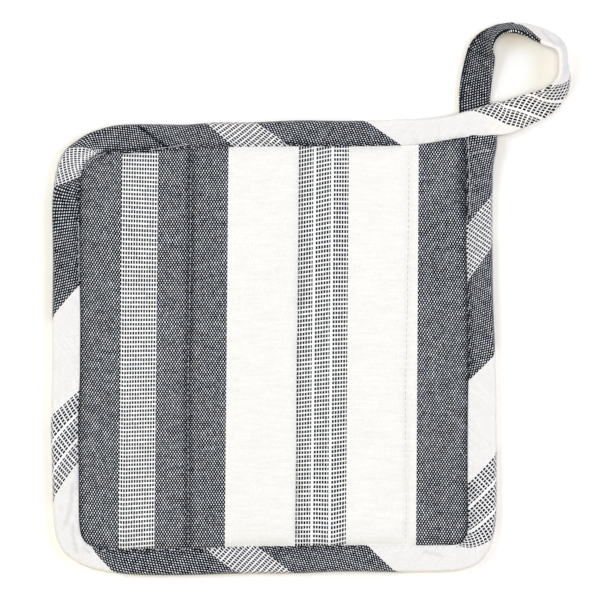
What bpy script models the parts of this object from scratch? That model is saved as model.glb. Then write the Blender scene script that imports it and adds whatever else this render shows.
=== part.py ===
"""Square quilted pot holder with a bias binding that runs on into a hanging loop.

It lies face up on its back. +X is to its right, +Y towards its top edge and +Z up
from the surface that it lies on. The origin is the middle of its flat back.
The tables are in millimetres, and MM turns them into metres.

Three sewn pieces make it: the pad, which is the striped cloth quilted to its
filling and back in four upright channels; the binding, a strip folded over the
pad's edge; and the loop, the same strip's free end, folded flat, stood on its
edge round the bend and tucked back under the binding at the top right corner.
"""
import math

import bmesh
import bpy
from mathutils import Vector

MM = 0.001

# Thicknesses and clearances
WING = 1.1            # one side of the folded binding, two layers of cloth
PAD_EDGE = 2.0        # the pad where the binding presses it flat
GAP = 0.3             # between pieces that touch
FOLD = 1.2            # the binding's wall at its outer fold
CROWN = 7.0           # the pad's full height between its seams
TAPE = 2.6            # the loop's four layers of cloth
SECTION_PUFF = 0.5    # how far the binding's front swells above its edges

# The quilting seams, and the lean of the stripes and seams to the right
SEAMS = (-38.1, 10.8, 60.2)
LEAN = 1.4            # sideways shift from the pad's bottom to its top
LEAN_HEIGHT = 180.0
SEAM_DEPTH = 2.2      # how far a seam draws the front down
SEAM_HOLLOW = 0.8     # how far it draws the back up
SEAM_REACH = 5.0      # how far to each side a seam draws the cloth

# The pad's cloth rises from the binding's edge to the crown over this distance
SHOULDER = 3.2
BACK_STEP = 2.2

# The binding and the pad's corner ride over the tucked end of the loop
TUCK_LINE = ((87.0, 104.5), (97.0, 104.5))
TUCK_REACH = 9.5
TUCK_FALL = 24.0
TUCK_RISE = TAPE + GAP

# The binding's outer fold and its stitched inner edge, clockwise from the top right
#    outer x, outer y, inner x, inner y
RIGHT = (
    (100.5, 90.9, 86.7, 89.9),
    (99.0, 81.5, 87.1, 81.5),
    (98.7, 66.6, 87.2, 66.6),
    (98.7, 44.0, 87.1, 44.0),
    (99.0, 21.5, 87.6, 21.5),
    (99.9, -2.5, 88.1, -2.5),
    (100.4, -28.2, 87.7, -28.2),
    (100.5, -55.3, 87.6, -55.3),
    (100.4, -74.3, 87.8, -72.5),
)
BOTTOM_RIGHT = (
    (99.3, -84.4, 87.8, -80.6),
    (96.9, -91.9, 87.0, -85.1),
    (92.4, -97.2, 85.0, -87.9),
    (86.0, -100.0, 82.4, -89.1),
)
BOTTOM = (
    (77.2, -101.2, 76.3, -89.4),
    (56.9, -101.4, 56.9, -89.5),
    (29.8, -101.2, 29.8, -89.5),
    (7.2, -102.1, 7.2, -89.8),
    (-15.4, -102.1, -15.4, -90.0),
    (-35.7, -102.7, -35.7, -90.9),
    (-56.0, -102.8, -56.0, -91.0),
    (-69.5, -102.1, -70.0, -91.2),
)
BOTTOM_LEFT = (
    (-80.8, -100.2, -78.6, -91.0),
    (-89.9, -96.4, -83.3, -89.4),
    (-96.0, -91.0, -86.4, -86.6),
    (-98.7, -83.8, -87.8, -82.0),
)
LEFT = (
    (-99.7, -74.3, -88.3, -73.4),
    (-100.2, -55.3, -88.4, -55.3),
    (-100.8, -32.7, -88.6, -32.7),
    (-100.1, -10.2, -87.8, -10.2),
    (-100.1, 16.9, -87.7, 16.9),
    (-99.9, 41.8, -88.1, 41.8),
    (-100.2, 63.0, -88.1, 63.0),
)
TOP_LEFT = (
    (-99.0, 76.5, -87.7, 75.2),
    (-95.5, 87.6, -86.2, 81.5),
    (-89.2, 93.3, -83.3, 85.3),
    (-80.2, 98.1, -79.0, 87.2),
)
TOP = (
    (-70.4, 100.5, -70.4, 87.6),
    (-56.0, 100.9, -56.0, 88.3),
    (-40.2, 100.7, -40.2, 89.9),
    (-26.6, 101.7, -26.6, 90.5),
    (-8.6, 101.8, -8.6, 90.9),
    (11.7, 102.6, 11.7, 91.0),
    (34.3, 102.4, 34.3, 91.0),
    (56.9, 103.1, 56.9, 91.4),
    (68.2, 103.4, 67.7, 92.1),
    (77.7, 104.5, 77.2, 93.6),
)
TOP_RIGHT = (
    (84.0, 105.9, 82.2, 94.4),
    (91.0, 106.8, 84.6, 94.4),
    (97.0, 105.0, 86.0, 93.6),
    (99.8, 99.0, 86.5, 92.0),
)

# Where the strip starts, under its own end, and where it leaves the pad for the loop
STRIP_START = (100.5, 95.7, 85.9, 94.2)
STRIP_END = (
    (92.1, 108.4, 93.0, 95.6),
    (99.0, 110.9, 101.5, 96.0),
)

# The loop, from the pad's corner round to its tucked end: its outer line as seen
# from above, the height of its lower edge, its roll off the flat, width and thickness
#     x,     y,     z,   roll, width, thick
LOOP = (
    (101.8, 96.0, 3.2, 0.0, 15.0, 4.2),
    (105.3, 96.5, 3.0, 2.0, 14.8, 3.9),
    (108.9, 97.6, 2.8, 4.0, 14.4, 3.5),
    (116.0, 100.8, 2.2, 17.0, 14.0, 2.9),
    (123.0, 104.0, 1.4, 27.0, 13.8, 2.6),
    (128.3, 108.3, 0.8, 41.0, 13.5, 2.6),
    (132.0, 113.3, 0.3, 52.0, 13.3, 2.6),
    (133.8, 118.6, 0.0, 61.0, 13.1, 2.6),
    (134.0, 123.5, 0.0, 70.0, 13.1, 2.6),
    (133.1, 128.9, 0.0, 76.0, 13.1, 2.6),
    (132.5, 134.4, 0.0, 76.0, 13.1, 2.6),
    (130.7, 138.6, 0.0, 70.0, 13.1, 2.6),
    (125.8, 142.5, 0.0, 63.0, 13.1, 2.6),
    (120.1, 145.0, 0.0, 64.0, 13.1, 2.6),
    (114.3, 146.6, 0.0, 69.0, 13.1, 2.6),
    (107.5, 147.1, 0.0, 74.0, 13.1, 2.6),
    (100.9, 146.0, 0.0, 74.0, 13.1, 2.6),
    (95.2, 143.8, 0.0, 60.0, 13.1, 2.6),
    (90.8, 140.4, 0.0, 40.0, 13.3, 2.6),
    (87.8, 135.8, 0.0, 25.0, 13.6, 2.6),
    (85.9, 128.9, 0.0, 16.0, 13.8, 2.6),
    (84.4, 120.8, 0.0, 9.0, 14.0, 2.6),
    (83.7, 112.7, 0.0, 1.0, 14.0, 2.6),
    (83.9, 105.9, 0.0, 0.0, 14.0, 2.6),
    (84.2, 100.6, 0.0, 0.0, 14.0, 2.6),
)
LOOP_STEP = 2.2       # distance between the loop's sections
TAPE_ROUND = 0.7      # radius of the loop's edges

# Binding section, from its lower inner edge round the fold and back inside it:
#    share of the width, millimetres more, height
CAVITY_LOW = WING
CAVITY_HIGH = WING + GAP + PAD_EDGE + GAP
BINDING_TOP = CAVITY_HIGH + WING
BINDING_SECTION = (
    (1.0, 0.0, 0.0),
    (0.5, 0.0, 0.0),
    (0.0, 1.6, 0.0),
    (0.0, 0.45, 0.5),
    (0.0, 0.0, 0.5 * BINDING_TOP),
    (0.0, 0.45, BINDING_TOP - 0.6),
    (0.0, 1.6, BINDING_TOP + 0.3 * SECTION_PUFF),
    (0.5, 0.0, BINDING_TOP + SECTION_PUFF),
    (1.0, -1.6, BINDING_TOP + 0.6 * SECTION_PUFF),
    (1.0, 0.0, BINDING_TOP - 0.1),
    (1.0, 0.0, CAVITY_HIGH),
    (0.5, 0.0, CAVITY_HIGH),
    (0.0, FOLD + 0.8, CAVITY_HIGH),
    (0.0, FOLD, CAVITY_HIGH - 0.7),
    (0.0, FOLD, CAVITY_LOW + 0.7),
    (0.0, FOLD + 0.8, CAVITY_LOW),
    (0.5, 0.0, CAVITY_LOW),
    (1.0, 0.0, CAVITY_LOW),
)

# The pad's rings inside the binding, then past its stitched edge:
#    share of the width, millimetres more, inset of the two faces from the pressed edge
PAD_RINGS = (
    (0.0, FOLD + GAP, 0.5),
    (0.0, FOLD + GAP + 0.7, 0.0),
    (0.5, 0.0, 0.0),
    (1.0, 0.35, 0.0),
    (1.0, 1.2, 0.0),
    (1.0, 2.2, 0.0),
    (1.0, 3.6, 0.0),
)
PAD_LOW = WING + GAP
PAD_HIGH = PAD_LOW + PAD_EDGE

SIDE_ROWS = 15        # stations up each side, between the corners
CORNER_STATIONS = 5
OPEN_COLUMNS = (-70.0, -61.0, -52.0, -23.0, -13.0, -4.0, 26.0, 35.5, 45.0, 75.0)
SEAM_COLUMNS = (-5.5, -2.2, 0.0, 2.2, 5.5)
SIDE_COLUMNS = 5.0    # columns over which the pad's left and right outlines fade out


def smooth(share):
    """Ease from 0 to 1 while share runs from 0 to 1."""
    share = min(max(share, 0.0), 1.0)
    return share * share * (3.0 - 2.0 * share)


def spline(rows, place):
    """The rows' numbers at a fractional row, on a Catmull-Rom curve."""
    index = min(int(place), len(rows) - 2)
    part = place - index
    before = rows[max(index - 1, 0)]
    here = rows[index]
    after = rows[index + 1]
    beyond = rows[min(index + 2, len(rows) - 1)]
    return tuple(
        0.5 * (2.0 * q + (r - p) * part
               + (2.0 * p - 5.0 * q + 4.0 * r - s) * part ** 2
               + (3.0 * q - p - 3.0 * r + s) * part ** 3)
        for p, q, r, s in zip(before, here, after, beyond))


def segment_distance(point, start, end):
    """Distance in the plane from a point to a straight segment."""
    along = end - start
    reach = along.length_squared
    share = (point - start).dot(along) / reach if reach > 0.0 else 0.0
    nearest = start + along * min(max(share, 0.0), 1.0)
    return (point - nearest).length


def tuck_lift(x, y):
    """How far the tucked end of the loop raises the cloth at x, y."""
    start = Vector(TUCK_LINE[0])
    end = Vector(TUCK_LINE[1])
    away = segment_distance(Vector((x, y)), start, end) - TUCK_REACH
    return TUCK_RISE * (1.0 - smooth(away / TUCK_FALL))


def column_lines():
    """The x of each upright line of the pad, at its middle height."""
    at_seams = [seam + step for seam in SEAMS for step in SEAM_COLUMNS]
    return sorted(list(OPEN_COLUMNS) + at_seams)


def place_at_x(rows, x):
    """The fractional row where the outer fold passes x."""
    low = 0.0
    high = float(len(rows) - 1)
    rising = rows[-1][0] > rows[0][0]
    for _ in range(40):
        middle = 0.5 * (low + high)
        if (spline(rows, middle)[0] < x) == rising:
            low = middle
        else:
            high = middle
    return 0.5 * (low + high)


def stations():
    """Pairs of outer and inner edge points round the pad, clockwise."""
    half_lean = 0.5 * LEAN
    sides = (RIGHT, BOTTOM_RIGHT, BOTTOM, BOTTOM_LEFT, LEFT, TOP_LEFT, TOP, TOP_RIGHT)
    found = []
    for number, rows in enumerate(sides):
        before = sides[number - 1][-1]
        after = sides[(number + 1) % len(sides)][0]
        whole = (before,) + rows + (after,)
        last = len(rows)
        if rows is TOP:
            places = [place_at_x(whole, x + half_lean) for x in column_lines()]
        elif rows is BOTTOM:
            places = [place_at_x(whole, x - half_lean) for x in reversed(column_lines())]
        elif rows in (RIGHT, LEFT):
            places = [1.0 + (last - 1.0) * k / (SIDE_ROWS - 1.0) for k in range(SIDE_ROWS)]
        else:
            steps = CORNER_STATIONS - 1.0
            places = [1.0 + (last - 1.0) * k / steps for k in range(CORNER_STATIONS)]
        found += [spline(whole, place) for place in places]
    return found


def across(station, share, more):
    """A point of a station's line, from the outer fold towards the inner edge."""
    outer = Vector(station[:2])
    inner = Vector(station[2:4])
    line = inner - outer
    width = line.length
    return outer + line / width * (share * width + more)


def raised(point, height):
    """A point of the plane at a height, in metres, carried up by the tucked end."""
    z = height + tuck_lift(point.x, point.y)
    return Vector((point.x, point.y, z)) * MM


def grid_patch(bm, columns, rows, place):
    """Add a grid of columns by rows cells, with each corner moved to its place."""
    made = bmesh.ops.create_grid(bm, x_segments=columns, y_segments=rows, size=0.5)
    for vert in made["verts"]:
        i = round((vert.co.x + 0.5) * columns)
        j = round((vert.co.y + 0.5) * rows)
        vert.co = place(i, j)


def loft(bm, sections, closed):
    """Skin a row of closed sections that have the same number of points."""
    points = len(sections[0])
    count = len(sections)
    columns = count if closed else count - 1
    grid_patch(bm, columns, points, lambda i, j: sections[i % count][j % points])


def finish_mesh(bm, name, collection, material):
    """Weld a closed body, turn its faces out and add it to the collection."""
    bmesh.ops.remove_doubles(bm, verts=bm.verts, dist=0.000005)
    open_edges = [edge for edge in bm.edges if edge.is_boundary]
    if open_edges:
        bmesh.ops.holes_fill(bm, edges=open_edges, sides=0)
    bmesh.ops.recalc_face_normals(bm, faces=bm.faces)
    mesh = bpy.data.meshes.new(name)
    bm.to_mesh(mesh)
    bm.free()
    mesh.materials.append(material)
    mesh.shade_smooth()
    mesh.set_sharp_from_angle(angle=math.radians(50.0))
    body = bpy.data.objects.new(name, mesh)
    collection.objects.link(body)
    return body


def cloth_material(name, colour, roughness):
    """A plain cotton in the average colour of the cloth."""
    material = bpy.data.materials.new(name)
    material.use_nodes = True
    shader = material.node_tree.nodes["Principled BSDF"]
    shader.inputs["Base Color"].default_value = (*colour, 1.0)
    shader.inputs["Roughness"].default_value = roughness
    shader.inputs["Metallic"].default_value = 0.0
    return material


def seam_pull(x, y):
    """How strongly the nearest quilting seam draws the pad in, from 0 to 1."""
    shift = LEAN * y / LEAN_HEIGHT
    nearest = min(abs(x - seam - shift) for seam in SEAMS)
    return 1.0 - smooth(nearest / SEAM_REACH)


def pad_faces(point, past_edge):
    """Heights of the pad's back and front at a point past the binding's edge."""
    clear = PAD_RINGS[3][1]
    inward = max(past_edge - clear, 0.0)
    full = seam_pull(point.x, point.y) * smooth(inward / 5.0)
    back = PAD_LOW * (1.0 - smooth(inward / BACK_STEP)) + SEAM_HOLLOW * full
    rise = (CROWN - PAD_HIGH) * (1.0 - math.exp(-inward / SHOULDER))
    front = PAD_HIGH + rise - SEAM_DEPTH * full
    return back, front


def pad_border(edge):
    """The pad's rings from the front's inner ring, round the rim, to the back's."""
    front = []
    back = []
    for share, more, inset in PAD_RINGS:
        past_edge = more if share == 1.0 else 0.0
        front_ring = []
        back_ring = []
        for station in edge:
            point = across(station, share, more)
            low, high = pad_faces(point, past_edge)
            back_ring.append(raised(point, low + inset))
            front_ring.append(raised(point, high - inset))
        front.append(front_ring)
        back.append(back_ring)
    return front[::-1] + back


def between_sides(sides, i, j):
    """A point between four sides, on a straight column that bends only near the ends."""
    left, right, low, high = sides
    columns = len(low) - 1
    v = j / (len(left) - 1)
    left_off = left[j] - left[0] * (1.0 - v) - left[-1] * v
    right_off = right[j] - right[0] * (1.0 - v) - right[-1] * v
    near_left = 1.0 - smooth(i / SIDE_COLUMNS)
    near_right = 1.0 - smooth((columns - i) / SIDE_COLUMNS)
    point = low[i] * (1.0 - v) + high[i] * v
    return point + left_off * near_left + right_off * near_right


def pad_middle(bm, edge, front):
    """Fill the pad inside its rings, its front or its back."""
    ring = [across(station, *PAD_RINGS[-1][:2]) for station in edge]
    seam_line = [across(station, 1.0, 0.0) for station in edge]
    columns = len(column_lines())
    half = CORNER_STATIONS // 2
    corner_right_low = SIDE_ROWS + half
    corner_left_low = corner_right_low + CORNER_STATIONS + columns
    corner_left_high = corner_left_low + CORNER_STATIONS + SIDE_ROWS
    corner_right_high = corner_left_high + CORNER_STATIONS + columns
    ring_twice = ring + ring
    right = ring_twice[corner_right_high:corner_right_low + len(ring) + 1][::-1]
    low = ring[corner_right_low:corner_left_low + 1][::-1]
    left = ring[corner_left_low:corner_left_high + 1]
    high = ring[corner_left_high:corner_right_high + 1]
    sides = (left, right, low, high)
    cells_across = len(low) - 1
    cells_up = len(left) - 1

    def place(i, j):
        point = between_sides(sides, i, j)
        if i in (0, cells_across) or j in (0, cells_up):
            past_edge = PAD_RINGS[-1][1]
        else:
            past_edge = min(segment_distance(point, seam_line[k - 1], seam_line[k])
                            for k in range(len(seam_line)))
        heights = pad_faces(point, past_edge)
        return raised(point, heights[1] if front else heights[0])

    grid_patch(bm, cells_across, cells_up, place)


def make_pad(collection):
    """The quilted pad, with its edge pressed thin inside the binding."""
    edge = stations()
    rings = pad_border(edge)
    bm = bmesh.new()
    count = len(edge)
    grid_patch(bm, count, len(rings) - 1, lambda i, j: rings[j][i % count])
    pad_middle(bm, edge, front=True)
    pad_middle(bm, edge, front=False)
    material = cloth_material("striped_cotton", (0.50, 0.505, 0.52), 0.9)
    return finish_mesh(bm, "pad", collection, material)


def make_binding(collection):
    """The strip folded over the pad's edge, from its start round to the loop."""
    corner = CORNER_STATIONS
    round_pad = stations()[:-corner + 1]
    line = [STRIP_START] + round_pad + list(STRIP_END)
    sections = []
    for station in line:
        section = [raised(across(station, share, more), z) for share, more, z in BINDING_SECTION]
        sections.append(section)
    bm = bmesh.new()
    loft(bm, sections, closed=False)
    material = cloth_material("binding_cotton", (0.52, 0.525, 0.54), 0.9)
    return finish_mesh(bm, "edge_binding", collection, material)


def tape_outline(width, thick):
    """Points of the folded tape's section, along its width and thickness."""
    r = TAPE_ROUND
    nip = 0.3 * r
    half = ((nip, nip), (r, 0.0), (width * 0.5, 0.0), (width - r, 0.0), (width - nip, nip),
            (width, r))
    back = [(width - across_tape, thick - up) for across_tape, up in half]
    return list(half) + back


def loop_sections():
    """Sections of the loop, evenly spaced along its outer line."""
    fine = 12
    total = fine * (len(LOOP) - 1)
    samples = [spline(LOOP, k / fine) for k in range(total + 1)]
    lengths = [0.0]
    for first, second in zip(samples, samples[1:]):
        step = Vector(second[:2]) - Vector(first[:2])
        lengths.append(lengths[-1] + step.length)
    count = round(lengths[-1] / LOOP_STEP)
    sections = []
    cursor = 0
    for k in range(count + 1):
        wanted = lengths[-1] * k / count
        while cursor < total - 1 and lengths[cursor + 1] < wanted:
            cursor += 1
        part = (wanted - lengths[cursor]) / (lengths[cursor + 1] - lengths[cursor])
        place = (cursor + part) / fine
        sections.append(loop_section(place))
    return sections


def loop_section(place):
    """One section of the loop, rolled up on its outer edge."""
    x, y, z, roll, width, thick = spline(LOOP, place)
    last = len(LOOP) - 1.0
    before = Vector(spline(LOOP, max(place - 0.25, 0.0))[:2])
    after = Vector(spline(LOOP, min(place + 0.25, last))[:2])
    along = (after - before).normalized()
    inward = Vector((-along.y, along.x, 0.0))
    up = Vector((0.0, 0.0, 1.0))
    angle = math.radians(max(roll, 0.0))
    wide = inward * math.cos(angle) + up * math.sin(angle)
    deep = up * math.cos(angle) - inward * math.sin(angle)
    foot = Vector((x, y, max(z, 0.0))) + inward * thick * math.sin(angle)
    return [(foot + wide * a + deep * b) * MM for a, b in tape_outline(width, thick)]


def make_loop(collection):
    """The strip's free end, folded flat and sewn back on itself as a hanging loop."""
    bm = bmesh.new()
    loft(bm, loop_sections(), closed=False)
    material = cloth_material("loop_cotton", (0.43, 0.44, 0.45), 0.9)
    return finish_mesh(bm, "hanging_loop", collection, material)


def main():
    for old in list(bpy.data.objects):
        bpy.data.objects.remove(old, do_unlink=True)
    collection = bpy.data.collections.new("pot_holder")
    bpy.context.scene.collection.children.link(collection)
    make_pad(collection)
    make_binding(collection)
    make_loop(collection)


main()
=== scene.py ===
"""Quilted pot holder in striped cotton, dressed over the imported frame.

The tables are in millimetres, in the frame's axes: +X right, +Y to the top edge
and +Z up from the surface that it lies on. MM turns them into metres. The cloth is
laid out in warp ends and weft picks, and its material draws every thread from them.
"""
import math
from functools import partialmethod

import bpy
import numpy as np
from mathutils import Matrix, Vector, noise
from mathutils.bvhtree import BVHTree


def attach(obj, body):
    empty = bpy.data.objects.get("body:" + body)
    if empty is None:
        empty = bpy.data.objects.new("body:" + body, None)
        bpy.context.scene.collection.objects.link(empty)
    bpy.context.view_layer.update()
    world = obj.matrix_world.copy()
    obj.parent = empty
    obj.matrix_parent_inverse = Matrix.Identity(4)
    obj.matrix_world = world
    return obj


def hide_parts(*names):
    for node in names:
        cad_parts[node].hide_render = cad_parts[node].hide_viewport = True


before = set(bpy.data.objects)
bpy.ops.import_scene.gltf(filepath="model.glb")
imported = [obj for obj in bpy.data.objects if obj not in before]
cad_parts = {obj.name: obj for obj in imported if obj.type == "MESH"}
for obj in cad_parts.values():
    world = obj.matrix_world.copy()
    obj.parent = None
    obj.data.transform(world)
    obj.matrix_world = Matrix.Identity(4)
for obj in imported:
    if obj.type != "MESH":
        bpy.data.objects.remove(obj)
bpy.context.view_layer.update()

MM = 0.001
CLEAR = 0.03          # height of the lowest cloth above the floor

# The cloth, laid out across its warp, in warp ends
END = 0.5985          # distance from one warp end to the next
REPEAT = 276.0        # ends in one repeat of the stripes
DARK_A = (0.0, 53.0)
DASHED = (53.0, 80.0)
DARK_B = (80.0, 133.0)
TRIPLE = (186.0, 223.0)
GROUP = 13.02         # ends from one dashed group to the next in the triple stripe
GROUP_WIDE = 11.0     # ends that are dashed in each group
STOUT = 1.34          # how much of a pair of ends its dark one fills in the dashed stripe
STOUT_TRIPLE = 1.41   # and in the triple stripe

# The look of the weave
BAR_HALF = 0.7        # half the width of the white bars in the dashed stripes, in ends
UNEVEN = 0.3          # how much the dots and bars differ in size
UNEVEN_PICKS = 0.25   # how much more they differ in height along the picks
DOT_SHADE_SHRINK = 0.1       # how much they shrink for each unit of painted shade that darkens the cloth, and grow where it is below 0
CLOTH_RELIEF = 0.00012        # metres of relief for a height of 1
THREAD_RELIEF = 0.00005
DEEPEST = 3.0         # painted shade of the deepest crease
# Tints of the white yarn in the dashed and the dark stripes; painted shade over the whole cloth
# in the gaps between threads and in the deepest crease, and painted light on the strip's fold and
# the loop's bend
WHITE_IN_DASHES = (1.04, 1.055, 1.09)
WHITE_IN_DARK = (0.98, 1.03, 1.12)
SHADE_IN_GAPS = (0.86, 0.86, 0.87)
PAINTED_SHADE_TINT = (0.58, 0.56, 0.57)
PAINTED_LIGHT_TINT = (1.10, 1.06, 1.0)

# Where the stripes' edges cross the pad's front, at two heights
#    at the top, at the bottom, warp ends
PANEL_TOP = 90.0
PANEL_LOW = -90.0
PANEL_STRIPES = (
    (-100.0, -101.8, 0.2), (-68.4, -70.1, 53.0), (-52.3, -54.1, 80.0),
    (-20.5, -22.2, 133.0), (11.3, 9.5, 186.0), (33.8, 32.4, 223.0),
    (65.3, 64.1, 276.0), (107.0, 105.9, 346.0),
)

# How the weft runs across the pad's front: rise over run in each stretch between two
# of these lines, at each height
WEFT_LINES = (-90.0, -68.0, -53.0, -37.9, -20.9, 11.0, 18.6, 26.3, 33.8, 65.0, 88.0)
WEFT_SLOPES = (
    (82, -0.11, -0.033, 0.051, -0.039, 0.05, 0.18, 0.19, 0.008, -0.03, -0.087),
    (64, -0.13, -0.048, 0.017, -0.026, 0.05, 0.15, 0.21, -0.014, -0.03, -0.071),
    (46, -0.152, -0.03, 0.017, -0.013, 0.05, 0.152, 0.135, -0.009, -0.03, -0.09),
    (28, -0.152, -0.008, 0.009, 0.0, 0.04, 0.128, 0.122, 0.009, -0.03, -0.114),
    (10, -0.165, 0.004, 0.004, -0.004, 0.04, 0.112, 0.112, 0.03, -0.04, -0.137),
    (-8, -0.153, 0.022, 0.0, 0.008, 0.04, 0.095, 0.096, 0.05, -0.04, -0.125),
    (-26, -0.143, 0.033, 0.008, 0.012, 0.03, 0.11, 0.083, 0.074, -0.04, -0.097),
    (-44, -0.135, 0.036, 0.0, 0.024, 0.03, 0.06, 0.03, 0.12, -0.03, -0.08),
    (-62, -0.118, 0.043, -0.009, 0.022, 0.02, 0.037, -0.015, 0.16, -0.02, -0.072),
    (-80, -0.084, 0.07, -0.022, 0.031, 0.02, 0.026, -0.053, 0.23, -0.02, -0.056),
)
LEVEL_LINE = 5        # the picks are counted along this one of the lines

# Distance from one pick to the next at each height
WEFT_PITCH = (
    (100, 0.96), (84, 0.97), (64, 1.007), (44, 1.03), (28, 0.994), (10, 0.989),
    (-8, 0.975), (-26, 0.939), (-44, 0.93), (-62, 0.994), (-80, 1.016), (-100, 1.01),
)
PANEL_REACH = 110.0   # the picks are counted this far up and down

# The quilting seams: x at the middle height, the lean of all three, and their bow
# to the left: how far, at what height, and over what height
SEAMS = (-38.1, 10.8, 60.2)
LEAN = 1.4 / 180.0
BOW = (0.6, -18.0, 34.0)

# Where the loop's tucked end raises the cloth: its middle line, the reach on both
# sides of it, the slope beyond that, and the rise
TUCK_LINE = ((87.0, 104.5), (97.0, 104.5))
TUCK_REACH = 9.5
TUCK_SLOPE = 24.0
TUCK_RISE = 2.9

# The binding's outer fold and its stitched inner edge, clockwise from the strip's start
#    outer x, outer y, inner x, inner y
BINDING = (
    (100.7, 98.6, 85.9, 97.6), (100.5, 90.9, 86.7, 89.9), (99.0, 81.5, 87.1, 81.5),
    (98.7, 66.6, 87.2, 66.6), (98.7, 44.0, 87.1, 44.0), (99.0, 21.5, 87.6, 21.5),
    (99.9, -2.5, 88.1, -2.5), (100.4, -28.2, 87.7, -28.2), (100.5, -55.3, 87.6, -55.3),
    (100.4, -74.3, 87.8, -72.5), (99.3, -84.4, 87.8, -80.6), (96.9, -91.9, 87.0, -85.1),
    (92.4, -97.2, 85.0, -87.9), (86.0, -100.0, 82.4, -89.1), (77.2, -101.2, 76.3, -89.4),
    (56.9, -101.4, 56.9, -89.5), (29.8, -101.2, 29.8, -89.5), (7.2, -102.1, 7.2, -89.8),
    (-15.4, -102.1, -15.4, -90.0), (-35.7, -102.7, -35.7, -90.9), (-56.0, -102.8, -56.0, -91.0),
    (-69.5, -102.1, -70.0, -91.2), (-80.8, -100.2, -78.6, -91.0), (-89.9, -96.4, -83.3, -89.4),
    (-96.0, -91.0, -86.4, -86.6), (-98.7, -83.8, -87.8, -82.0), (-99.7, -74.3, -88.3, -73.4),
    (-100.2, -55.3, -88.4, -55.3), (-100.8, -32.7, -88.6, -32.7), (-100.1, -10.2, -87.8, -10.2),
    (-100.1, 16.9, -87.7, 16.9), (-99.9, 41.8, -88.1, 41.8), (-100.2, 63.0, -88.1, 63.0),
    (-99.0, 76.5, -87.7, 75.2), (-95.5, 87.6, -86.2, 81.5), (-89.2, 93.3, -83.3, 85.3),
    (-80.2, 98.1, -79.0, 87.2), (-70.4, 100.5, -70.4, 87.6), (-56.0, 100.9, -56.0, 88.3),
    (-40.2, 100.7, -40.2, 89.9), (-26.6, 101.7, -26.6, 90.5), (-8.6, 101.8, -8.6, 90.9),
    (11.7, 102.6, 11.7, 91.0), (34.3, 102.4, 34.3, 91.0), (56.9, 103.1, 56.9, 91.4),
    (68.2, 103.4, 67.7, 92.1), (77.7, 104.5, 77.2, 93.6), (84.0, 105.9, 82.6, 94.5),
    (92.1, 108.4, 93.0, 95.6),
)

# The loop, the strip's free end: its outer line as seen from above, the height of
# its lower edge, its roll off the flat and its width
LOOP = (
    (101.6, 96.0, 2.9, 0, 14.9), (105.3, 96.5, 2.9, 2, 14.8), (108.9, 97.6, 2.8, 4, 14.4),
    (116.0, 100.8, 2.2, 17, 14.0), (123.0, 104.0, 1.4, 27, 13.8), (128.3, 108.3, 0.8, 41, 13.5),
    (132.0, 113.3, 0.3, 52, 13.3), (133.8, 118.6, 0.0, 61, 13.1), (134.0, 123.5, 0.0, 70, 13.1),
    (133.1, 128.9, 0.0, 76, 13.1), (132.5, 134.4, 0.0, 76, 13.1), (130.7, 138.6, 0.0, 70, 13.1),
    (125.8, 142.5, 0.0, 63, 13.1), (120.1, 145.0, 0.0, 64, 13.1), (114.3, 146.6, 0.0, 69, 13.1),
    (107.5, 147.1, 0.0, 74, 13.1), (100.9, 146.0, 0.0, 74, 13.1), (95.2, 143.8, 0.0, 60, 13.1),
    (90.8, 140.4, 0.0, 40, 13.3), (87.8, 135.8, 0.0, 25, 13.6), (85.9, 128.9, 0.0, 16, 13.8),
    (84.4, 120.8, 0.0, 9, 14.0), (83.7, 112.7, 0.0, 1, 14.0), (83.9, 105.9, 0.0, 0, 14.0),
    (84.2, 100.6, 0.0, 0, 14.0),
)

# Where the strip's stripes change, in warp ends, on its outer fold and on its inner edge
#    ends, outer x, outer y, inner x, inner y
STRIP_STRIPES = (
    (53, 98.7, 69.0, 87.1, 54.9), (80, 98.7, 46.3, 87.4, 30.2),
    (133, 99.9, -2.9, 87.9, -15.2), (186, 100.5, -48.1, 87.6, -61.5),
    (223, 99.0, -85.7, 82.8, -89.0), (276, 55.0, -101.4, 42.4, -89.5),
    (329, 8.2, -102.1, -7.4, -89.9), (356, -15.0, -102.1, -30.9, -90.8),
    (409, -72.1, -101.9, -82.2, -90.0), (462, -99.9, -69.0, -88.4, -51.3),
    (499, -100.8, -31.6, -88.1, -19.2), (552, -100.1, 13.4, -87.9, 28.2),
    (580, -100.2, 41.4, -87.9, 55.7), (590, -100.1, 52.4, -88.0, 65.7),
    (605, -99.5, 72.7, -87.5, 76.9), (632, -94.1, 89.0, -79.6, 86.9),
    (666, -62.3, 100.7, -47.4, 90.1),
)
JOINED_STRIPES = (
    (18, -62.3, 100.7, -47.4, 90.1), (53, -31.2, 101.4, -18.0, 90.7),
    (80, -9.0, 101.8, 6.6, 91.0), (133, 41.6, 102.6, 57.8, 91.4),
    (186, 88.2, 107.4, 112.4, 99.6), (198, 101.2, 110.7, 121.3, 104.1),
    (211, 115.0, 115.0, 129.6, 112.5), (223, 124.7, 119.1, 131.9, 123.3),
    (276, 119.0, 137.0, 108.0, 145.6), (282, 115.0, 139.0, 87.5, 135.0),
    (300, 98.0, 134.0, 83.8, 115.7), (309, 97.8, 124.3, 83.9, 106.0),
)

# Angle between the strip's warp and weft, along its binding and loop, as it was pulled
#    distance from the strip's start, degrees
STRIP_BIAS = ((20, 92), (40, 93), (72, 89), (180, 88), (270, 81), (315, 85), (345, 84),
              (430, 76), (470, 80), (495, 82), (518, 76), (535, 82), (550, 84), (584, 86),
              (592, 76), (640, 76), (690, 79), (790, 87), (850, 92))

# Distance from one weft pick to the next, along the binding and loop
#    distance from the strip's start, millimetres
STRIP_PICK = ((40, 0.925), (230, 0.955), (310, 1.03), (480, 1.03), (500, 0.99), (548, 0.87),
              (584, 0.87), (600, 0.98), (655, 1.07), (690, 1.0), (790, 0.96))
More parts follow.
